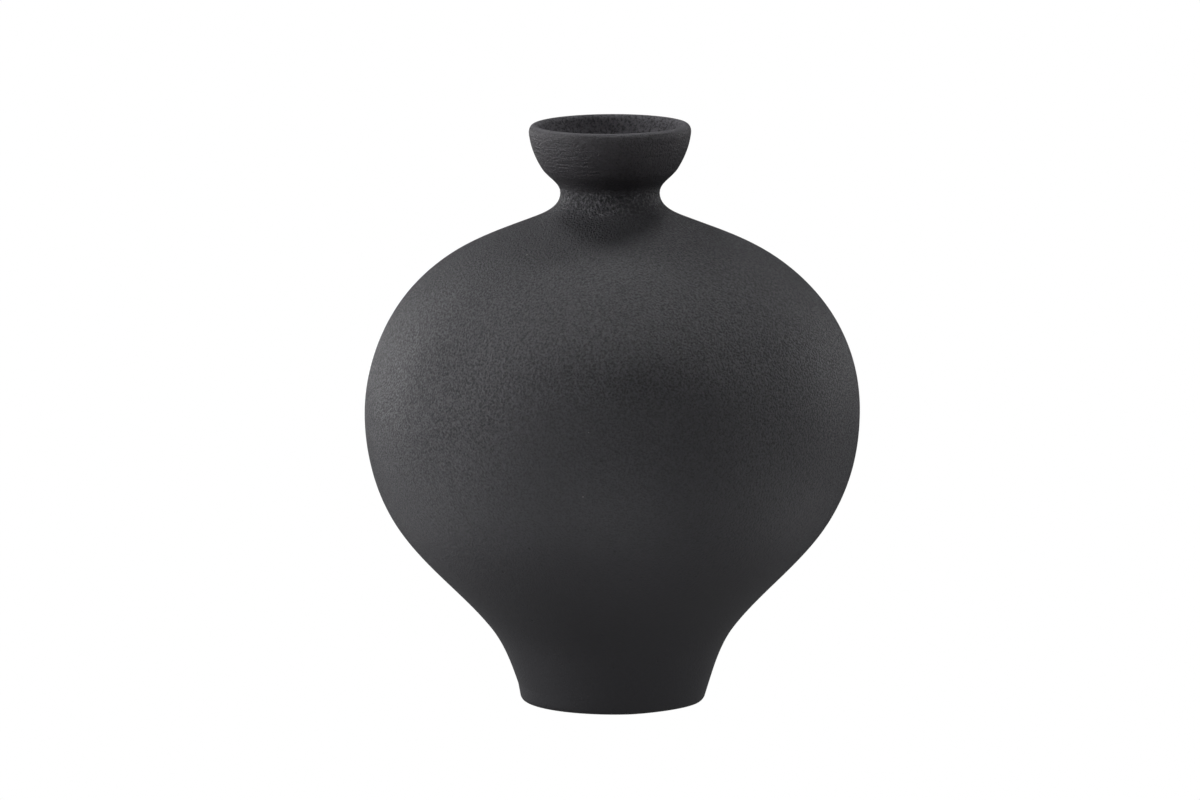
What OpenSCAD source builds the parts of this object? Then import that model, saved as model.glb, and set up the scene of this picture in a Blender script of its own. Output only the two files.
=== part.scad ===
// Section-built black clay pot. A flat base slab and nine rings of wall are stacked on one
// axis, with a ring of slip keyed into every joint between them. Every ring is a slice of a
// single wall, so neighbours always meet.
// Units are millimetres, +Z is up, and the origin is the centre of the resting face.

/* [Overall] */
// Height from the table to the crest of the lip
pot_h = 300; // [270:1:360]
// Diameter at the widest level of the belly
belly_d = 255; // [210:1:310]
// Height of the widest level
belly_z = 150.5; // [130:0.5:170]

/* [Base slab] */
// Thickness of the slab that closes the bottom
slab_h = 9; // [7:0.5:12]
// Outside diameter at the slab's top, where the foot wall stands
foot_d = 98.5; // [82:0.5:118]
// Outward lean of the foot there, in degrees from vertical
foot_lean = 18; // [5:1:25]
// Rounding of the slab's lower edge
foot_edge_r = 4; // [2:0.5:5]
// Width of the flat ring that the pot stands on
stand_w = 5.5; // [3:0.5:10]
// Depth of the scraped hollow inside that ring
hollow_h = 1.8; // [0.5:0.1:3]

/* [Foot and lower belly] */
// Outside diameter at the waist seam
waist_d = 126; // [115:0.5:145]
// Height of the waist seam
waist_z = 39; // [32:0.5:46]
// Outward lean at the waist seam
waist_lean = 37.5; // [30:0.5:45]
// How far the bowl seam lies inside the widest level
bowl_inset = 14.5; // [10:0.1:18]
// Height of the bowl seam
bowl_z = 95.5; // [84:0.5:108]
// Outward lean at the bowl seam
bowl_lean = 31; // [22:1:38]

/* [Upper belly and shoulder] */
// How far the crown seam lies inside the widest level
crown_inset = 12; // [9:0.5:16]
// Distance of the crown seam below the crest
crown_drop = 103; // [96:0.5:108]
// Inward lean at the crown seam
crown_lean = 29; // [24:0.5:34]
// How far the upper seam lies inside the widest level
upper_inset = 44.25; // [38:0.25:52]
// Distance of the upper seam below the crest
upper_drop = 69; // [64:0.5:74]
// Inward lean at the upper seam
upper_lean = 57; // [50:0.5:64]
// Outside diameter at the shoulder seam
shoulder_d = 79; // [70:0.5:96]
// Distance of the shoulder seam below the crest
shoulder_drop = 49.25; // [46:0.25:54]
// Inward lean at the shoulder seam
shoulder_lean = 68; // [60:0.5:75]

/* [Neck and mouth] */
// Outside diameter at the throat, the narrowest level
neck_d = 51; // [42:0.5:62]
// Distance of the throat below the crest
throat_drop = 36; // [33:0.5:39]
// Outside diameter at the cup seam
cup_d = 70; // [64:0.5:76]
// Distance of the cup seam below the crest
cup_drop = 23; // [20:0.5:26]
// Outward lean at the cup seam
cup_lean = 31.5; // [22:0.5:42]
// Outside diameter at the lip seam
rim_d = 82.5; // [80:0.5:94]
// Distance of the lip seam below the crest
rim_drop = 7; // [6:0.5:9]
// Outward lean at the lip seam
rim_lean = 9.5; // [4:0.5:14]
// How far the lip bulges past the lip seam, per side
lip_bulge = 0.4; // [0.2:0.1:1]
// Height of the lip's outer rounding
lip_outer_h = 4; // [3:0.1:5]
// Width of the lip's outer rounding
lip_outer_w = 2.7; // [1.5:0.1:3]
// Height of the lip's inner rounding
lip_inner_h = 2.4; // [1.5:0.1:3]

/* [Walls] */
// Wall of the foot, at the slab
foot_wall_t = 8.5; // [6:0.1:11]
// Wall at the waist seam
waist_wall_t = 7.5; // [5.5:0.1:9]
// Wall of the belly
belly_wall_t = 6.5; // [4.5:0.1:8]
// Wall at the shoulder seam and the throat
neck_wall_t = 6; // [4.5:0.1:7.5]
// Wall of the mouth cup
cup_wall_t = 5.5; // [4.5:0.1:7]
// Wall of the lip
lip_wall_t = 5; // [4:0.1:6]

/* [Slip seams] */
// Width of the scored channel across each joint
slip_w = 2.4; // [1.5:0.1:2.8]
// Height of the slip that fills it
slip_h = 1.6; // [0.8:0.1:2]

/* [Hidden] */
CLAY = "#333335";
SLIP = "#222224";
STEPS = 10;     // straight steps along each stretch of outline
ARC_STEPS = 8;  // straight steps in each small rounding
ROUND_FN = 120;

// A station is [outside radius, height, lean, wall]. Lean is the outline's angle from vertical
// in degrees, positive where the outline moves outwards as it rises.
FOOT = [foot_d / 2, slab_h, foot_lean, foot_wall_t];
WAIST = [waist_d / 2, waist_z, waist_lean, waist_wall_t];
BOWL = [belly_d / 2 - bowl_inset, bowl_z, bowl_lean, belly_wall_t];
WIDEST = [belly_d / 2, belly_z, 0, belly_wall_t];
CROWN = [belly_d / 2 - crown_inset, pot_h - crown_drop, -crown_lean, belly_wall_t];
UPPER = [belly_d / 2 - upper_inset, pot_h - upper_drop, -upper_lean, belly_wall_t];
SHOULDER = [shoulder_d / 2, pot_h - shoulder_drop, -shoulder_lean, neck_wall_t];
THROAT = [neck_d / 2, pot_h - throat_drop, 0, neck_wall_t];
CUP = [cup_d / 2, pot_h - cup_drop, cup_lean, cup_wall_t];
RIM = [rim_d / 2, pot_h - rim_drop, rim_lean, lip_wall_t];
LIP = [rim_d / 2 + lip_bulge, pot_h - lip_outer_h, 0, lip_wall_t];

// Unit direction along an outline that leans by a degrees
function along(a) = [sin(a), cos(a)];

// Handle length of a curve between two leans, as a share of its chord; exact for an arc
function handle(a, b) = 2 / 3 / (1 + cos((b - a) / 2));

// Corners of the cubic curve that joins stations a and b
function control(a, b) =
    let (p = [a[0], a[1]], q = [b[0], b[1]], h = norm(q - p) * handle(a[2], b[2]))
    [p, p + h * along(a[2]), q - h * along(b[2]), q];

function curve_point(c, t) =
    pow(1 - t, 3) * c[0] + 3 * pow(1 - t, 2) * t * c[1] + 3 * (1 - t) * t * t * c[2] + pow(t, 3) * c[3];

function curve_tangent(c, t) =
    pow(1 - t, 2) * (c[1] - c[0]) + 2 * (1 - t) * t * (c[2] - c[1]) + t * t * (c[3] - c[2]);

// Point of the inner face opposite an outer point p, through a wall of w along the normal
function inward(p, tangent, w) =
    let (u = tangent / norm(tangent)) [p[0] - w * u[1], p[1] + w * u[0]];

// Outer and inner faces between stations a and b, bottom to top
function outer_face(a, b) =
    let (c = control(a, b)) [for (i = [0 : STEPS]) curve_point(c, i / STEPS)];

function inner_face(a, b) =
    let (c = control(a, b))
    [for (i = [0 : STEPS])
        let (t = i / STEPS)
        inward(curve_point(c, t), curve_tangent(c, t), a[3] + t * (b[3] - a[3]))];

// A joint is [outer point, inner point]. It crosses the wall square to it.
function joint(s) = let (p = [s[0], s[1]]) [p, inward(p, along(s[2]), s[3])];

// The lowest joint is level, because the foot wall stands on the flat slab
FOOT_JOINT = [[FOOT[0], FOOT[1]], [FOOT[0] - FOOT[3] / cos(FOOT[2]), FOOT[1]]];

// The scored channel of joint j, seen as a lozenge: outer, upper, inner and lower corner
function lozenge(j) =
    let (
        u = (j[1] - j[0]) / norm(j[1] - j[0]),
        up = [u[1], -u[0]],
        m = (j[0] + j[1]) / 2
    )
    [m - u * slip_w / 2, m + up * slip_h / 2, m + u * slip_w / 2, m - up * slip_h / 2];

// Joint j as an edge from the outer to the inner face; side 1 is the upper half of the
// channel, which the piece above has, and side 3 is the lower half
function edge(j, side) = let (l = lozenge(j)) [j[0], l[0], l[side], l[2], j[1]];

function backwards(list) = [for (i = [len(list) - 1 : -1 : 0]) list[i]];

// One ring of wall through a list of stations, between its lower and its upper joint
module ring(stations, low, high) {
    outer = [for (i = [0 : len(stations) - 2]) each outer_face(stations[i], stations[i + 1])];
    inner = [for (i = [0 : len(stations) - 2]) each inner_face(stations[i], stations[i + 1])];
    color(CLAY)
        rotate_extrude($fn = ROUND_FN)
            polygon(concat(outer, edge(high, 3), backwards(inner), backwards(edge(low, 1))));
}

// The slip that fills the channel of joint j
module slip(j) {
    color(SLIP)
        rotate_extrude($fn = ROUND_FN)
            polygon(lozenge(j));
}

// Flat slab with a rounded lower edge, a standing ring and a shallow dished hollow beneath
module base_slab() {
    stand_r = FOOT[0] - (slab_h - foot_edge_r) * tan(foot_lean) - foot_edge_r / cos(foot_lean);
    rounding = [for (i = [0 : ARC_STEPS])
        let (a = -90 + i / ARC_STEPS * (90 - foot_lean))
        [stand_r + foot_edge_r * cos(a), foot_edge_r + foot_edge_r * sin(a)]];
    hollow_r = stand_r - stand_w;
    dish_r = (hollow_r * hollow_r + hollow_h * hollow_h) / (2 * hollow_h);
    hollow = [for (i = [0 : ARC_STEPS])
        let (r = hollow_r * i / ARC_STEPS)
        [r, hollow_h - dish_r + sqrt(dish_r * dish_r - r * r)]];
    color(CLAY)
        rotate_extrude($fn = ROUND_FN)
            polygon(concat(hollow, rounding, edge(FOOT_JOINT, 3), [[0, slab_h]]));
}

module foot_wall() { ring([FOOT, WAIST], FOOT_JOINT, joint(WAIST)); }
module lower_bowl() { ring([WAIST, BOWL], joint(WAIST), joint(BOWL)); }
module belly_band() { ring([BOWL, WIDEST], joint(BOWL), joint(WIDEST)); }
module upper_belly() { ring([WIDEST, CROWN], joint(WIDEST), joint(CROWN)); }
module crown_band() { ring([CROWN, UPPER], joint(CROWN), joint(UPPER)); }
module shoulder_dome() { ring([UPPER, SHOULDER], joint(UPPER), joint(SHOULDER)); }
module neck_collar() { ring([SHOULDER, THROAT, CUP], joint(SHOULDER), joint(CUP)); }
module mouth_cup() { ring([CUP, RIM], joint(CUP), joint(RIM)); }

// Rounded coil that finishes the mouth: an oval shoulder outside and a tighter one inside
module lip_coil() {
    crest_r = LIP[0] - lip_outer_w;
    inner_w = lip_wall_t - lip_outer_w;
    outside = [for (i = [0 : ARC_STEPS])
        let (a = 90 * i / ARC_STEPS)
        [crest_r + lip_outer_w * cos(a), LIP[1] + lip_outer_h * sin(a)]];
    inside = [for (i = [1 : ARC_STEPS])
        let (a = 90 + 90 * i / ARC_STEPS)
        [crest_r + inner_w * cos(a), pot_h - lip_inner_h + lip_inner_h * sin(a)]];
    color(CLAY)
        rotate_extrude($fn = ROUND_FN)
            polygon(concat(outer_face(RIM, LIP), outside, inside, backwards(edge(joint(RIM), 1))));
}

base_slab();
foot_wall();
lower_bowl();
belly_band();
upper_belly();
crown_band();
shoulder_dome();
neck_collar();
mouth_cup();
lip_coil();
slip(FOOT_JOINT);  // foot_seam_slip
slip(joint(WAIST));  // waist_seam_slip
slip(joint(BOWL));  // bowl_seam_slip
slip(joint(WIDEST));  // belly_seam_slip
slip(joint(CROWN));  // crown_seam_slip
slip(joint(UPPER));  // upper_seam_slip
slip(joint(SHOULDER));  // shoulder_seam_slip
slip(joint(CUP));  // cup_seam_slip
slip(joint(RIM));  // lip_seam_slip
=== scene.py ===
"""Black clay pot: the courses of clay it is built from, the slip between them, and their finish."""

import math

import bpy
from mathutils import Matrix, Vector


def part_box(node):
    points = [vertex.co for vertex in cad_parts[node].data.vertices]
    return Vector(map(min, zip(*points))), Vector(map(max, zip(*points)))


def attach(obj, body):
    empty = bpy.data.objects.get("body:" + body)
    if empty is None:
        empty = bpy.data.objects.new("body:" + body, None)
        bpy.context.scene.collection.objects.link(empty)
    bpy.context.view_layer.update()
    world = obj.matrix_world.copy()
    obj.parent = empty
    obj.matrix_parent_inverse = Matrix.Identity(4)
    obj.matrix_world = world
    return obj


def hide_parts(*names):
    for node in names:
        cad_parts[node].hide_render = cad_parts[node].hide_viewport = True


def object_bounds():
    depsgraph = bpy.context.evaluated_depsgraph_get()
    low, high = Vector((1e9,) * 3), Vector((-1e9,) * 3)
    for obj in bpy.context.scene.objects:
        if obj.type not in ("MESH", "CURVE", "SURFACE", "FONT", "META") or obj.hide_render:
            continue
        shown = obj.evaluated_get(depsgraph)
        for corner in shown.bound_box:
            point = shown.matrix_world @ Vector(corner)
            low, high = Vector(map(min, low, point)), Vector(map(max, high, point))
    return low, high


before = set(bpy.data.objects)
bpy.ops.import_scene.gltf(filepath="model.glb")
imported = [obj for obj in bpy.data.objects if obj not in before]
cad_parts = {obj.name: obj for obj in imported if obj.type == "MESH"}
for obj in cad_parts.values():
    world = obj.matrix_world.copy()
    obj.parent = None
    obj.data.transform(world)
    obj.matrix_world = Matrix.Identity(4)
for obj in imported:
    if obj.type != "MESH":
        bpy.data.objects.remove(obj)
cad_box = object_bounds()

MM = 0.001
SAME = 0.01 * MM  # two levels or radii this close are the same
MERGE = 0.001 * MM

# ---------------------------------------------------------------- the form

SECTIONS = 256  # faces round the pot
ROW = 1.7 * MM  # spacing of the rows of faces up a wall
SEAM_ROW = 0.25 * MM  # the row beside a joint, thin so that the shading runs on across it
SLAB_RINGS = 24
SLIP_W = 2.4 * MM
SLIP_H = 1.6 * MM

LIP_OUTER_H = 4 * MM
LIP_OUTER_W = 2.7 * MM
LIP_INNER_H = 2.4 * MM
LIP_BULGE = 0.4 * MM
THROAT_DROP = 36 * MM
THROAT_R = 25.5 * MM
THROAT_WALL = 6 * MM
FOOT_LEAN = math.radians(18)
FOOT_EDGE_R = 4 * MM
STAND_W = 5.5 * MM
HOLLOW_H = 1.8 * MM
FINGER_PITCH = 11 * MM
FINGER_DEPTH = 0.35 * MM

COURSES = ["base_slab", "foot_wall", "lower_bowl", "belly_band", "upper_belly",
           "crown_band", "shoulder_dome", "neck_collar", "mouth_cup", "lip_coil"]
SEAMS = ["foot_seam_slip", "waist_seam_slip", "bowl_seam_slip", "belly_seam_slip",
         "crown_seam_slip", "upper_seam_slip", "shoulder_seam_slip", "cup_seam_slip",
         "lip_seam_slip"]

crest_z = cad_box[1].z


class Station:
    """A level of the wall: its outer point, lean from vertical and thickness.

    In every point of an outline, x is the radius and y the height.
    """

    def __init__(self, outer, lean, wall):
        self.outer = Vector(outer)
        self.lean = lean
        self.wall = wall

    def along(self):
        return Vector((math.sin(self.lean), math.cos(self.lean)))

    def inner(self):
        return self.outer + self.wall * Vector((-math.cos(self.lean), math.sin(self.lean)))


def edge_points(node, top):
    """The node's corners on its highest or lowest level, from the axis outwards."""
    low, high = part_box(node)
    level = high.z if top else low.z
    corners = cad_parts[node].data.vertices
    found = [Vector((v.co.xy.length, v.co.z)) for v in corners if abs(v.co.z - level) < SAME]
    return sorted(found, key=lambda p: p.x)


def joint_station(lower, upper):
    """The level where two courses meet, read off their corners."""
    below, above = edge_points(lower, True), edge_points(upper, False)
    flares = above[-1].x > below[-1].x + SAME
    outer = above[-1] if flares else below[-1]
    inner = below[0] if flares else above[0]
    if lower == "base_slab":
        return Station(outer, FOOT_LEAN, (outer - inner).length * math.cos(FOOT_LEAN))
    across = outer - inner
    return Station(outer, math.atan2(-across.y, across.x), across.length)


JOINTS = [joint_station(a, b) for a, b in zip(COURSES, COURSES[1:])]
throat = Station((THROAT_R, crest_z - THROAT_DROP), 0, THROAT_WALL)
rim = JOINTS[-1]
lip = Station((rim.outer.x + LIP_BULGE, crest_z - LIP_OUTER_H), 0, rim.wall)


def curve(a, b):
    """Corners of the cubic curve between two stations."""
    reach = (b.outer - a.outer).length * 2 / 3 / (1 + math.cos((b.lean - a.lean) / 2))
    return a.outer, a.outer + reach * a.along(), b.outer - reach * b.along(), b.outer


def on_curve(c, t):
    """Point and unit direction of a cubic curve at t."""
    s = 1 - t
    point = s**3 * c[0] + 3 * s * s * t * c[1] + 3 * s * t * t * c[2] + t**3 * c[3]
    way = s * s * (c[1] - c[0]) + 2 * s * t * (c[2] - c[1]) + t * t * (c[3] - c[2])
    return point, way.normalized()


def steps(length, thin_start, thin_end):
    """Shares of the way along a stretch, in even rows, with a thin one beside a joint."""
    n = max(2, round(length / ROW))
    shares = [i / n for i in range(n + 1)]
    thin = SEAM_ROW / length
    if thin_start:
        shares.insert(1, thin)
    if thin_end:
        shares.insert(-1, 1 - thin)
    return shares


def finger(height, share):
    """Ridge that the fingers leave inside. It fades out at the ends of a stretch."""
    wave = math.sin(2 * math.pi * height / FINGER_PITCH)
    return FINGER_DEPTH * wave * math.sin(math.pi * share) ** 2


def stretch(a, b, thin_start=True, thin_end=True):
    """Outer and inner points of the wall between two stations, bottom to top."""
    c = curve(a, b)
    outer, inner = [], []
    for t in steps((b.outer - a.outer).length, thin_start, thin_end):
        point, way = on_curve(c, t)
        wall = a.wall + t * (b.wall - a.wall) + finger(point.y, t)
        outer.append(point)
        inner.append(point + wall * Vector((-way.y, way.x)))
    return outer, inner


def joint_edge(station, level=False):
    """Outer and inner end of a joint and its channel's corners: outer, upper, inner, lower."""
    start = station.outer
    end = station.inner()
    if level:
        end = Vector((start.x - station.wall / math.cos(station.lean), start.y))
    inwards = (end - start).normalized()
    up = Vector((inwards.y, -inwards.x))
    middle = (start + end) / 2
    corners = [middle - inwards * SLIP_W / 2, middle + up * SLIP_H / 2,
               middle + inwards * SLIP_W / 2, middle - up * SLIP_H / 2]
    return start, end, corners


def crossing(station, upper_half, level=False):
    """The points where a course ends at a joint, from the outer to the inner face."""
    start, end, corners = joint_edge(station, level)
    return [start, corners[0], corners[1 if upper_half else 3], corners[2], end]


def arc(centre, half_w, half_h, start, end, n):
    """Points of an oval arc, from start to end in degrees."""
    turns = [math.radians(start + (end - start) * i / n) for i in range(n + 1)]
    return [centre + Vector((half_w * math.cos(a), half_h * math.sin(a))) for a in turns]


def ring_profile(stations, low, high, low_level=False):
    """Outline of a ring of wall: up the outside, over the joint, down the inside and back."""
    outer, inner = [], []
    for i, (a, b) in enumerate(zip(stations, stations[1:])):
        o, n = stretch(a, b, i == 0, i == len(stations) - 2)
        outer += o if i == 0 else o[1:]
        inner += n if i == 0 else n[1:]
    top = crossing(high, False)[1:]
    bottom = crossing(low, True, low_level)
    if low_level:
        inner[0] = bottom[-1]
    return outer + top + inner[-2::-1] + bottom[-2::-1]


def lip_profile():
    """The lip coil: a short wall that turns over into a rounded crest."""
    outer, _ = stretch(rim, lip, True, False)
    crest_r = lip.outer.x - LIP_OUTER_W
    inner_w = lip.wall - LIP_OUTER_W
    over = arc(Vector((crest_r, lip.outer.y)), LIP_OUTER_W, LIP_OUTER_H, 0, 90, 14)
    inside = arc(Vector((crest_r, crest_z - LIP_INNER_H)), inner_w, LIP_INNER_H, 90, 180, 10)
    bottom = crossing(rim, True)
    return outer + over[1:] + inside[1:] + bottom[::-1]


def slab_profile():
    """The base slab, from the middle of its hollow out, up, and back to the middle of its floor."""
    foot = JOINTS[0]
    top = foot.outer.y
    in_by_lean = (top - FOOT_EDGE_R) * math.tan(foot.lean)
    stand_r = foot.outer.x - in_by_lean - FOOT_EDGE_R / math.cos(foot.lean)
    hollow_r = stand_r - STAND_W
    shares = [i / SLAB_RINGS for i in range(SLAB_RINGS + 1)]
    under = [Vector((hollow_r * t, HOLLOW_H * (1 - t**2))) for t in shares]
    middle = Vector((stand_r, FOOT_EDGE_R))
    edge = arc(middle, FOOT_EDGE_R, FOOT_EDGE_R, -90, -math.degrees(foot.lean), 12)
    side = [edge[-1].lerp(foot.outer, 0.5), foot.outer]
    joint = crossing(foot, False, True)
    floor_r = joint[-1].x
    floor = [Vector((floor_r * (1 - t), top - finger(floor_r * t, t))) for t in shares]
    return under + edge + side + joint[1:] + floor[1:]


def lathe(name, profile, sections=SECTIONS, closed=True):
    """Draws a profile as a chain of edges beside the axis and spins it into a closed piece."""
    bpy.ops.object.select_all(action="DESELECT")
    bpy.ops.mesh.primitive_plane_add(size=MM, location=(profile[0].x, 0, profile[0].y))
    piece = bpy.context.object
    piece.name = piece.data.name = name
    bpy.ops.object.transform_apply(location=True, rotation=False, scale=False)
    bpy.ops.object.mode_set(mode="EDIT")
    bpy.ops.mesh.merge(type="CENTER")
    chain = profile + profile[:1] if closed else profile
    for here, there in zip(chain, chain[1:]):
        step = there - here
        bpy.ops.mesh.extrude_region_move(TRANSFORM_OT_translate={"value": (step.x, 0, step.y)})
    bpy.ops.mesh.select_all(action="SELECT")
    bpy.ops.mesh.remove_doubles(threshold=MERGE)
    bpy.ops.mesh.select_all(action="SELECT")
    bpy.ops.mesh.spin(steps=sections, angle=2 * math.pi, center=(0, 0, 0), axis=(0, 0, 1))
    bpy.ops.mesh.select_all(action="SELECT")
    bpy.ops.mesh.remove_doubles(threshold=MERGE)
    bpy.ops.mesh.normals_make_consistent(inside=False)
    bpy.ops.object.mode_set(mode="OBJECT")
    return piece


SLAB_TOP = JOINTS[0].outer.y - 0.5 * MM  # only faces above it are inside the pot

# Sideways drift of the wall, in mm along X and Y, at even levels from the table to the crest
DRIFT = [(0.7, -0.3), (0.05, 0.0), (-0.63, 0.2), (-0.5, 0.3), (-0.22, 0.2), (-0.12, 0.0),
         (0.25, 0.0), (-0.2, 0.2), (-1.0, 0.5), (-1.3, 0.7), (-1.3, 0.6)]
FULL_EDGE = 1.4 * MM  # how far the foot's edge stands out on the left
SCRAPED_EDGE = 0.35 * MM
SCRAPED_AT = math.radians(-48)  # the right front
SCRAPED_REACH = math.radians(30)  # to each side
EDGE_STARTS = 0.75  # the wear starts at this share of the foot's radius
EDGE_FULL = 0.9  # and is whole from here out
MOUTH_DIP_X = math.radians(-0.3)  # the mouth's plane is a little lower on the left
MOUTH_DIP_Y = math.radians(-0.65)  # and lower still in front
SOFT_CLAY_DEPTH = 0.14 * MM
SOFT_CLAY_SIZE = 45 * MM
RUBBED_Z = 0.02 * MM  # the standing ring is rubbed flat at this height


def drift_cage():
    """A cage of four columns round the pot. Its levels drift and its top leans a little."""
    bpy.ops.object.select_all(action="DESELECT")
    bpy.ops.object.add(type="LATTICE", location=(0, 0, crest_z / 2))
    cage = bpy.context.object
    size = cad_box[1] - cad_box[0]
    cage.scale = (1.1 * size.x, 1.1 * size.y, crest_z)
    cage.data.points_u = cage.data.points_v = 2
    cage.data.points_w = len(DRIFT)
    cage.data.interpolation_type_u = cage.data.interpolation_type_v = "KEY_LINEAR"
    cage.data.interpolation_type_w = "KEY_CARDINAL"
    lip_r = lip.outer.x - LIP_OUTER_W
    highest = lip_r * math.hypot(MOUTH_DIP_X, MOUTH_DIP_Y)
    for i, point in enumerate(cage.data.points):
        level = i // 4
        dx, dy = DRIFT[level]
        shift = Vector((dx * MM, dy * MM, 0))
        if level == len(DRIFT) - 1:
            at = point.co_deform * Vector(cage.scale)
            shift.z = -at.x * math.tan(MOUTH_DIP_X) - at.y * math.tan(MOUTH_DIP_Y) - highest
        point.co_deform = point.co_deform + Vector(s / side for s, side in zip(shift, cage.scale))
    return cage


def apply_modifier(piece, kind, **settings):
    """Adds a modifier with these settings and applies it."""
    bpy.ops.object.select_all(action="DESELECT")
    piece.select_set(True)
    bpy.context.view_layer.objects.active = piece
    modifier = piece.modifiers.new(kind.title(), kind)
    for key, value in settings.items():
        setattr(modifier, key, value)
    bpy.ops.object.modifier_apply(modifier=modifier.name)


soft_clay = bpy.data.textures.new("Soft clay", "CLOUDS")
soft_clay.noise_scale = SOFT_CLAY_SIZE
soft_clay.noise_depth = 1
soft_clay.cloud_type = "COLOR"


def worn_foot(slab):
    """Uneven lower edge: fuller on the left, and scraped away a little at the right front."""
    foot = JOINTS[0].outer
    for vertex in slab.data.vertices:
        point = vertex.co
        turn = math.atan2(point.y, point.x)
        out = (point.xy.length / foot.x - EDGE_STARTS) / (EDGE_FULL - EDGE_STARTS)
        wear = min(1, max(0, out)) * max(0, 1 - point.z / foot.y)
        point.x -= FULL_EDGE * wear * max(0, math.cos(turn - math.pi)) ** 2
        aside = min(1, abs(turn - SCRAPED_AT) / SCRAPED_REACH)
        point.z += SCRAPED_EDGE * wear * math.cos(aside * math.pi / 2)


def set_down(piece):
    """Rubs the standing ring flat, where it meets the table."""
    for vertex in piece.data.vertices:
        vertex.co.z = max(vertex.co.z, RUBBED_Z)


def finish_piece(piece, node, outside, inside=None):
    """Nudges a piece as soft clay is nudged, smooths it and puts it in its node's place."""
    apply_modifier(piece, "LATTICE", object=cage)
    apply_modifier(piece, "DISPLACE", texture=soft_clay, texture_coords="GLOBAL",
                   direction="RGB_TO_XYZ", strength=SOFT_CLAY_DEPTH, mid_level=0.5)
    set_down(piece)
    bpy.ops.object.shade_smooth_by_angle(angle=math.radians(40))
    piece.data.materials.clear()
    piece.data.materials.append(outside)
    if inside:
        piece.data.materials.append(inside)
        for face in piece.data.polygons:
            faces_axis = face.normal.xy.dot(face.center.xy) < 0
            face.material_index = 1 if faces_axis and face.center.z > SLAB_TOP else 0
    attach(piece, "root")
    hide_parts(node)


# ---------------------------------------------------------------- finishes


def node_group(name, inputs, outputs):
    """A shader group with named inputs, each with its starting value, and named outputs."""
    tree = bpy.data.node_groups.new(name, "ShaderNodeTree")
    for key, value in inputs.items():
        vector = value is None
        kind = "NodeSocketVector" if vector else "NodeSocketFloat"
        socket = tree.interface.new_socket(key, in_out="INPUT", socket_type=kind)
        if not vector:
            socket.default_value = value
    for key in outputs:
        tree.interface.new_socket(key, in_out="OUTPUT", socket_type="NodeSocketFloat")
    return tree, tree.nodes.new("NodeGroupInput"), tree.nodes.new("NodeGroupOutput")


def put(tree, kind, operation=None, **sockets):
    """Adds a node, sets its operation, and sets or links the sockets named by number or name."""
    node = tree.nodes.new("ShaderNode" + kind)
    if operation:
        node.operation = operation
    for key, value in sockets.items():
        key = int(key[1:]) if key[1:].isdigit() else key.replace("_", " ")
        socket = node.inputs[key]
        if isinstance(value, bpy.types.NodeSocket):
            tree.links.new(value, socket)
        else:
            socket.default_value = value
    return node


def ramp(tree, value, low, high, to_low=0.0, to_high=1.0):
    """A value carried smoothly from one range to another, and held at its ends."""
    node = put(tree, "MapRange", Value=value, From_Min=low, From_Max=high,
               To_Min=to_low, To_Max=to_high)
    node.interpolation_type = "SMOOTHSTEP"
    return node.outputs["Result"]


def sums(tree, operation, a, b=0.0, c=0.0):
    """The result of a Math node."""
    return put(tree, "Math", operation, _0=a, _1=b, _2=c).outputs[0]


def times(tree, a, b):
    """One value times another."""
    return sums(tree, "MULTIPLY", a, b)


def per_size(tree, vector, size):
    """A vector counted in features of this size."""
    count = sums(tree, "DIVIDE", 1.0, size)
    return put(tree, "VectorMath", "SCALE", _0=vector, Scale=count).outputs[0]


def noise(tree, vector, detail, roughness=0.5):
    """Noise with one feature in each unit of the vector."""
    node = put(tree, "TexNoise", Vector=vector, Scale=1.0, Detail=detail, Roughness=roughness)
    return node.outputs["Fac"]


def tint(tree, factor, a, b):
    """Colour a carried to colour b by a factor."""
    node = put(tree, "Mix")
    node.data_type = "RGBA"
    for socket, value in zip((node.inputs[0], node.inputs[6], node.inputs[7]), (factor, a, b)):
        if isinstance(value, bpy.types.NodeSocket):
            tree.links.new(value, socket)
        else:
            socket.default_value = value
    return node.outputs[2]


PIT_EDGE = 0.14  # how softly a pit starts
PIT_DEPTH = 0.35  # as a share of a grain's height


def sandy_grain():
    """Sand in the clay: grains that stand proud, and pits where grains have dragged out.

    Sand runs from 0 in a pit to 1 on a grain. The pattern is turned off the axes, so that its
    rows don't line up with the pot.
    """
    inputs = {"Vector": None, "Grain size": 0.9 * MM, "Pit share": 0.4}
    tree, into, out = node_group("Sandy grain", inputs, ["Height", "Pits", "Sand"])
    place = into.outputs["Vector"]
    turned = put(tree, "Mapping", Vector=place, Rotation=(0.5, 0.35, 0.8)).outputs[0]
    vector = per_size(tree, turned, into.outputs["Grain size"])
    sand = noise(tree, vector, 2.0, 0.65)
    edge = sums(tree, "ADD", into.outputs["Pit share"], PIT_EDGE)
    pits = ramp(tree, sand, edge, into.outputs["Pit share"])
    tree.links.new(sums(tree, "MULTIPLY_ADD", pits, -PIT_DEPTH, sand), out.inputs["Height"])
    tree.links.new(pits, out.inputs["Pits"])
    tree.links.new(ramp(tree, sand, 0.32, 0.68), out.inputs["Sand"])
    return tree


def wiped_lines():
    """Level lines that a wet hand or a rib leaves as the pot turns."""
    inputs = {"Vector": None, "Line height": 0.8 * MM}
    tree, into, out = node_group("Wiped lines", inputs, ["Height"])
    vector = per_size(tree, into.outputs["Vector"], into.outputs["Line height"])
    flat = put(tree, "Mapping", Vector=vector, Scale=(0.1, 0.1, 1.0)).outputs[0]
    tree.links.new(noise(tree, flat, 2.0, 0.6), out.inputs["Height"])
    return tree


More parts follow.
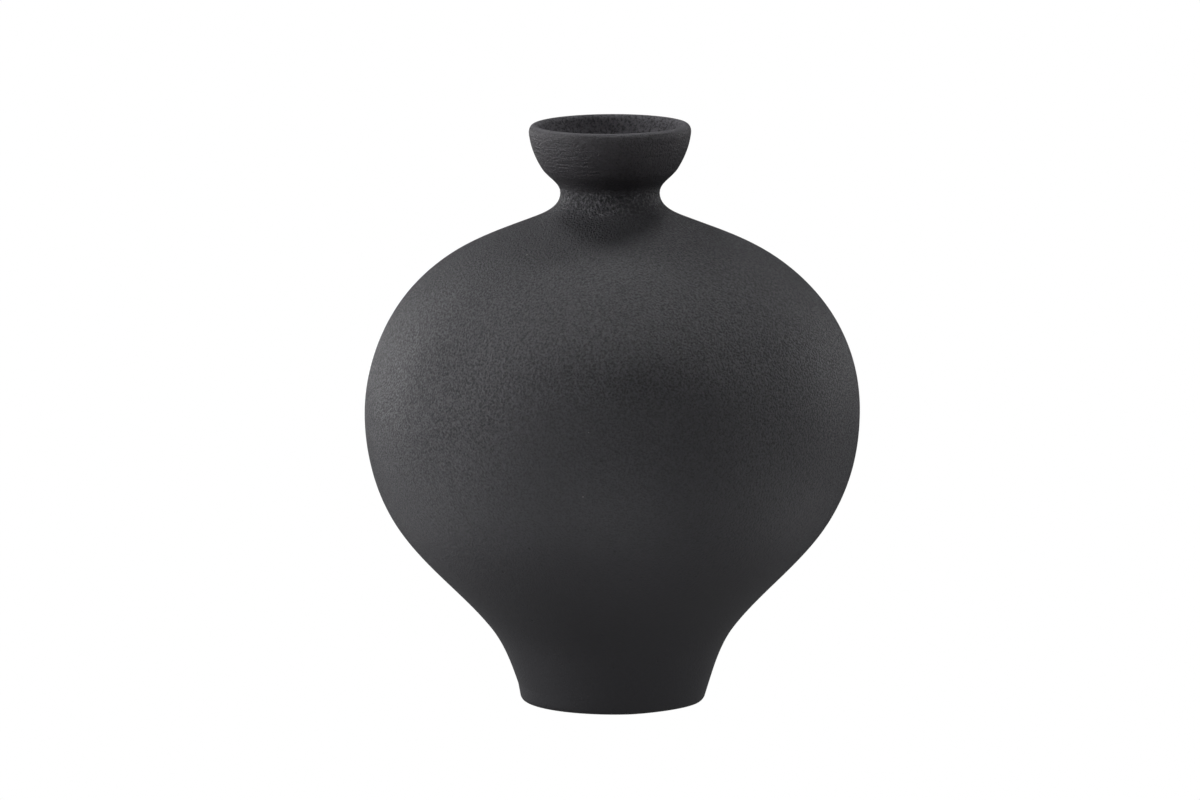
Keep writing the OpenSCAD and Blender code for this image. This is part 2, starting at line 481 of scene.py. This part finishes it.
def scattered_spots():
    """Lone round spots: pores left by burnt bits, specks of pale dust, and painted glints of light.

    Size is a share of the spacing. Share is how many of the places have a spot.
    """
    inputs = {"Vector": None, "Spacing": 6 * MM, "Size": 0.12, "Share": 0.3}
    tree, into, out = node_group("Scattered spots", inputs, ["Mask"])
    vector = per_size(tree, into.outputs["Vector"], into.outputs["Spacing"])
    cells = put(tree, "TexVoronoi", Vector=vector, Scale=1.0)
    chance = put(tree, "SeparateColor", Color=cells.outputs["Color"]).outputs
    chosen = sums(tree, "LESS_THAN", chance[0], into.outputs["Share"])
    reach = times(tree, into.outputs["Size"], sums(tree, "ADD", chance[1], 0.4))
    spot = ramp(tree, cells.outputs["Distance"], reach, times(tree, reach, 0.4))
    tree.links.new(times(tree, chosen, spot), out.inputs["Mask"])
    return tree


def cloudy_firing():
    """Slow changes of tone, where smoke and heat reached the clay unevenly. Tone is about 1."""
    inputs = {"Vector": None, "Cloud size": 40 * MM, "Depth": 0.1}
    tree, into, out = node_group("Cloudy firing", inputs, ["Tone"])
    vector = per_size(tree, into.outputs["Vector"], into.outputs["Cloud size"])
    cloud = sums(tree, "SUBTRACT", noise(tree, vector, 2.0), 0.5)
    tone = sums(tree, "MULTIPLY_ADD", cloud, into.outputs["Depth"], 1.0)
    tree.links.new(tone, out.inputs["Tone"])
    return tree


def use(tree, group, vector, **values):
    """Places a group in a material with its own values and gives its outputs."""
    node = tree.nodes.new("ShaderNodeGroup")
    node.node_tree = group
    tree.links.new(vector, node.inputs["Vector"])
    for key, value in values.items():
        socket = node.inputs[key.replace("_", " ")]
        if isinstance(value, bpy.types.NodeSocket):
            tree.links.new(value, socket)
        else:
            socket.default_value = value
    return node.outputs


def fresh_material(name, roughness):
    """A new material: its tree, its shader and the place on the object that its patterns read."""
    material = bpy.data.materials.new(name)
    material.use_nodes = True
    tree = material.node_tree
    shader = tree.nodes["Principled BSDF"]
    shader.inputs["Roughness"].default_value = roughness
    shader.inputs["Specular IOR Level"].default_value = SHEEN
    shader.inputs["Specular Tint"].default_value = SHEEN_TINT
    return material, tree, shader, tree.nodes.new("ShaderNodeTexCoord").outputs["Object"]


SHEEN = 0.75
SHEEN_TINT = (0.965, 0.96, 1.0, 1)
CLAY_TONE = (0.0355, 0.035, 0.0395, 1)
CUP_TONE = (0.043, 0.039, 0.0435, 1)
PIT_TONE = (0.013, 0.0125, 0.015, 1)
SAND_TONE = (0.062, 0.0615, 0.068, 1)
# worn grain tops on the neck, and the painted highlight along the lip's crest
WORN_AND_HIGHLIGHT_TONE = (0.085, 0.083, 0.093, 1)
# pale dust specks, and the painted glints on the lip's crest
DUST_AND_GLINT_TONE = (0.3, 0.29, 0.27, 1)
# the inside is painted lighter than the outside clay: painted light inside the mouth
INNER_PAINTED_LIGHT_TONE = (0.115, 0.111, 0.123, 1)
INNER_PAINTED_LIGHT_LOW_TONE = (0.06, 0.058, 0.064, 1)
SLIP_TONE = (0.026, 0.0255, 0.029, 1)


def shaded(tree, shader, colour, tone):
    """Gives the shader a colour, made lighter or darker by a tone."""
    shade = put(tree, "VectorMath", "SCALE", _0=colour, Scale=tone).outputs[0]
    tree.links.new(shade, shader.inputs["Base Color"])


def bumped(tree, shader, relief):
    """Gives the shader a relief, in metres."""
    bump = put(tree, "Bump", Strength=1.0, Distance=1.0, Height=relief)
    tree.links.new(bump.outputs[0], shader.inputs["Normal"])


def clay_zones(tree, place):
    """Where the outside differs: the cup, the throat, the lip's crest and how sandy the wall is,
    weighted up where the light rakes across it.
    """
    spot = put(tree, "SeparateXYZ", Vector=place).outputs
    side, height = spot["X"], spot["Z"]
    throat_z = throat.outer.y
    cup = ramp(tree, height, throat_z - 2 * MM, throat_z + 8 * MM)
    neck = times(tree, ramp(tree, height, throat_z - 11 * MM, throat_z - 5 * MM),
                 ramp(tree, height, throat_z + 5 * MM, throat_z))
    crest = ramp(tree, height, crest_z - 2.4 * MM, crest_z - 1.1 * MM)
    streaky = times(tree, cup, ramp(tree, side, 25 * MM, -30 * MM, 0.5, 1.0))

    sandy = times(tree, ramp(tree, height, 45 * MM, 185 * MM, 0.15, 1.0),
                  sums(tree, "MULTIPLY_ADD", cup, -0.55, 1.0))
    # painted light, in colour: the grain is weighted up on the left, the right and the shoulder,
    # where the lamps rake across it, and down in the front middle; the same weight sets its relief
    left = ramp(tree, side, -25 * MM, -85 * MM, 0.5, 1.35)
    right = ramp(tree, side, 25 * MM, 85 * MM, 0.5, 0.85)
    above = ramp(tree, height, 145 * MM, 190 * MM)
    raking_light_weight = sums(tree, "MAXIMUM", sums(tree, "MAXIMUM", left, right), above)
    return cup, neck, crest, streaky, times(tree, sandy, raking_light_weight)


def black_clay():
    """Unburnished black clay: sandy on the belly, wiped wet at the mouth, smoother at the foot,
    with painted light in its colour.
    """
    material, tree, shader, place = fresh_material("Black clay", 0.75)
    cup, neck, crest, streaky, sandy = clay_zones(tree, place)

    grain = use(tree, GRAIN, place, Grain_size=1.1 * MM, Pit_share=0.38)
    coarse = use(tree, GRAIN, place, Grain_size=1.5 * MM, Pit_share=0.42)
    lines = use(tree, LINES, place, Line_height=1.0 * MM)["Height"]
    pores = use(tree, SPOTS, place, Spacing=7 * MM, Size=0.13, Share=0.35)["Mask"]
    dust = use(tree, SPOTS, place, Spacing=16 * MM, Size=0.035, Share=0.30)["Mask"]
    # painted highlight: small glints of light on the lip's crest
    painted_glints = use(tree, SPOTS, place, Spacing=2.2 * MM, Size=0.2, Share=0.3)["Mask"]
    tone = use(tree, CLOUDS, place, Cloud_size=45 * MM, Depth=0.2)["Tone"]

    # painted light: the pale and dark speckle of the grain is stronger where the light rakes across
    # the wall
    speckle_where_lit = times(tree, sandy, 0.95)
    lighter = times(tree, ramp(tree, grain["Sand"], 0.5, 1.0), speckle_where_lit)
    darker = times(tree, ramp(tree, grain["Sand"], 0.5, 0.0), speckle_where_lit)
    grain_tops = times(tree, ramp(tree, coarse["Sand"], 0.6, 1.0), neck)
    dragged = times(tree, ramp(tree, lines, 0.47, 0.3), times(tree, streaky, 0.45))
    # real pale dust all over, plus painted glints on the crest
    dust_and_painted_glints = sums(tree, "MULTIPLY_ADD", crest, times(tree, painted_glints, 0.8), dust)

    colour = tint(tree, cup, CLAY_TONE, CUP_TONE)
    colour = tint(tree, lighter, colour, SAND_TONE)
    colour = tint(tree, darker, colour, PIT_TONE)
    colour = tint(tree, times(tree, coarse["Pits"], neck), colour, PIT_TONE)
    colour = tint(tree, grain_tops, colour, WORN_AND_HIGHLIGHT_TONE)
    colour = tint(tree, dragged, colour, PIT_TONE)
    colour = tint(tree, times(tree, pores, 0.7), colour, PIT_TONE)
    # painted highlight: the lip's crest is painted lighter, where light catches it
    colour = tint(tree, times(tree, crest, 0.8), colour, WORN_AND_HIGHLIGHT_TONE)
    colour = tint(tree, dust_and_painted_glints, colour, DUST_AND_GLINT_TONE)
    shaded(tree, shader, colour, tone)

    rough = sums(tree, "MULTIPLY_ADD", grain["Sand"], times(tree, sandy, -0.14), 0.62)
    tree.links.new(rough, shader.inputs["Roughness"])

    sand_depth = times(tree, sandy, 0.9 * MM)
    coarse_depth = times(tree, neck, 0.95 * MM)
    line_depth = sums(tree, "MULTIPLY_ADD", streaky, 0.9 * MM, 0.05 * MM)
    relief = times(tree, grain["Height"], sand_depth)
    relief = sums(tree, "MULTIPLY_ADD", coarse["Height"], coarse_depth, relief)
    relief = sums(tree, "MULTIPLY_ADD", lines, line_depth, relief)
    relief = sums(tree, "MULTIPLY_ADD", pores, -0.25 * MM, relief)
    bumped(tree, shader, relief)
    return material


def inner_black_clay():
    """The same clay inside, where nothing smooths it: open and coarse, and painted lighter than the
    outside to stand in for the light that reaches into the mouth.
    """
    material, tree, shader, place = fresh_material("Black clay inside", 0.85)
    grain = use(tree, GRAIN, place, Grain_size=1.3 * MM, Pit_share=0.36)
    lines = use(tree, LINES, place, Line_height=1.5 * MM)["Height"]
    tone = use(tree, CLOUDS, place, Cloud_size=25 * MM, Depth=0.3)["Tone"]
    # painted light: both inside tones are lighter than the outside clay, as if lit
    colour = tint(tree, grain["Sand"], INNER_PAINTED_LIGHT_LOW_TONE, INNER_PAINTED_LIGHT_TONE)
    colour = tint(tree, times(tree, grain["Pits"], 0.45), colour, PIT_TONE)
    shaded(tree, shader, colour, tone)
    relief = times(tree, grain["Height"], 0.6 * MM)
    relief = sums(tree, "MULTIPLY_ADD", lines, 0.25 * MM, relief)
    bumped(tree, shader, relief)
    return material


def dried_slip():
    """Slip of the same clay, finer and darker, that has dried in the joints."""
    material, tree, shader, place = fresh_material("Dried slip", 0.8)
    grain = use(tree, GRAIN, place, Grain_size=0.4 * MM, Pit_share=0.36)
    tone = use(tree, CLOUDS, place, Cloud_size=20 * MM, Depth=0.3)["Tone"]
    colour = tint(tree, grain["Pits"], SLIP_TONE, PIT_TONE)
    shaded(tree, shader, colour, tone)
    relief = times(tree, grain["Height"], 0.1 * MM)
    bumped(tree, shader, relief)
    return material


GRAIN = sandy_grain()
LINES = wiped_lines()
SPOTS = scattered_spots()
CLOUDS = cloudy_firing()
clay = black_clay()
inner_clay = inner_black_clay()
slip_finish = dried_slip()

# ---------------------------------------------------------------- the pot

cage = drift_cage()

profiles = {"base_slab": slab_profile(), "lip_coil": lip_profile()}
for i, name in enumerate(COURSES[1:-1]):
    through = [throat] if name == "neck_collar" else []
    low, high = JOINTS[i], JOINTS[i + 1]
    profiles[name] = ring_profile([low, *through, high], low, high, i == 0)
for name in COURSES:
    piece = lathe(name + "_clay", profiles[name], closed=name != "base_slab")
    if name == "base_slab":
        worn_foot(piece)
    finish_piece(piece, name, clay, inner_clay)

for name, station in zip(SEAMS, JOINTS):
    corners = joint_edge(station, station is JOINTS[0])[2]
    finish_piece(lathe(name + "_ring", corners), name, slip_finish)

bpy.data.objects.remove(cage)

# ---------------------------------------------------------------- the studio

FLOOR_R = 20
FLOOR_GLOW = 0.19  # the light that the table throws back at the pot
GLOW_REACH = 0.2  # from the pot's axis


def seen_white(tree):
    """1 for what the camera sees, and 0 for the light that falls on the pot."""
    return tree.nodes.new("ShaderNodeLightPath").outputs["Is Camera Ray"]


def pale_floor_finish():
    """White to the camera, and only near the pot does it throw light back."""
    material = bpy.data.materials.new("Pale floor")
    material.use_nodes = True
    tree = material.node_tree
    shader = tree.nodes["Principled BSDF"]
    shader.inputs["Base Color"].default_value = (0.0, 0.0, 0.0, 1)
    shader.inputs["Roughness"].default_value = 1.0
    shader.inputs["Specular IOR Level"].default_value = 0.0
    shader.inputs["Emission Color"].default_value = (1, 1, 1, 1)
    place = tree.nodes.new("ShaderNodeTexCoord").outputs["Object"]
    away = put(tree, "VectorMath", "LENGTH", _0=place).outputs["Value"]
    near = ramp(tree, away, 1.1 * GLOW_REACH, 0.9 * GLOW_REACH, 0.0, FLOOR_GLOW)
    glow = put(tree, "MapRange", Value=seen_white(tree), To_Min=near, To_Max=1.0)
    tree.links.new(glow.outputs["Result"], shader.inputs["Emission Strength"])
    return material


bpy.ops.mesh.primitive_circle_add(vertices=96, radius=FLOOR_R, fill_type="NGON", location=(0, 0, 0))
floor = bpy.context.object
floor.name = "floor"
floor.data.materials.append(pale_floor_finish())


def softbox(name, azimuth, elevation, distance, size, watts):
    """A square soft light that faces the pot.

    Azimuth and elevation are in degrees. Azimuth 0 is in front and 90 to the right.
    """
    a, e = math.radians(azimuth), math.radians(elevation)
    away = Vector((math.sin(a) * math.cos(e), -math.cos(a) * math.cos(e), math.sin(e)))
    bpy.ops.object.light_add(type="AREA", location=away * distance + Vector((0, 0, crest_z / 2)))
    light = bpy.context.object
    light.name = name
    light.visible_camera = False
    light.data.shape = "SQUARE"
    light.data.size = size
    light.data.energy = watts
    light.rotation_euler = (-away).to_track_quat("-Z", "Y").to_euler()
    return light


def bounce_card(name, x, y, size, watts):
    """A round card that lies on the table beside the pot and throws light up at it."""
    bpy.ops.object.light_add(type="AREA", location=(x, y, 2 * MM), rotation=(math.pi, 0, 0))
    card = bpy.context.object
    card.name = name
    card.data.shape = "DISK"
    card.data.size = size
    card.data.energy = watts
    card.visible_camera = False
    return card


SOFTBOXES = [  # name, azimuth, elevation, distance, size, watts
    ("key_left", -80, 20, 0.9, 0.4, 3.9),
    ("left_low", -75, 8, 0.9, 0.3, 0.3),
    ("fill_left", -105, 20, 0.9, 0.4, 1.4),
    ("front", 15, 30, 2.2, 0.6, 10.0),
    ("right", 100, 20, 0.9, 0.4, 1.4),
    ("back_left_high", -140, 62, 2.2, 0.5, 10.0),
    ("back_right_high", 140, 62, 2.2, 0.5, 12.3),
    ("back_left_low", -140, 5, 2.2, 0.6, 6.4),
    ("back_right_low", 140, 5, 2.2, 0.6, 2.7),
]
CARDS = [  # name, x, y, size, watts
    ("card_front", 0.0, -0.3, 0.2, 0.16),
    ("card_front_left", -0.21, -0.21, 0.2, 0.11),
    ("card_front_right", 0.35, -0.15, 0.3, 0.2),
    ("card_left", -0.3, 0.0, 0.2, 0.23),
    ("card_right", 0.3, 0.0, 0.2, 0.12),
]
for row in CARDS:
    bounce_card(*row)
for row in SOFTBOXES:
    softbox(*row)

world = bpy.data.worlds.new("Studio")
bpy.context.scene.world = world
world.use_nodes = True
backdrop = world.node_tree.nodes["Background"]
backdrop.inputs["Color"].default_value = (1, 1, 1, 1)
world.node_tree.links.new(seen_white(world.node_tree), backdrop.inputs["Strength"])

bpy.context.scene.view_settings.view_transform = "Standard"

# ---------------------------------------------------------------- the camera

bpy.ops.object.camera_add(location=(0, -4.5, 0.8425))
camera = bpy.context.object
camera.data.lens = 265.2
aim = Vector((-0.0064, 0, 0.1565))
camera.rotation_euler = (aim - camera.location).to_track_quat("-Z", "Y").to_euler()
bpy.context.scene.camera = camera
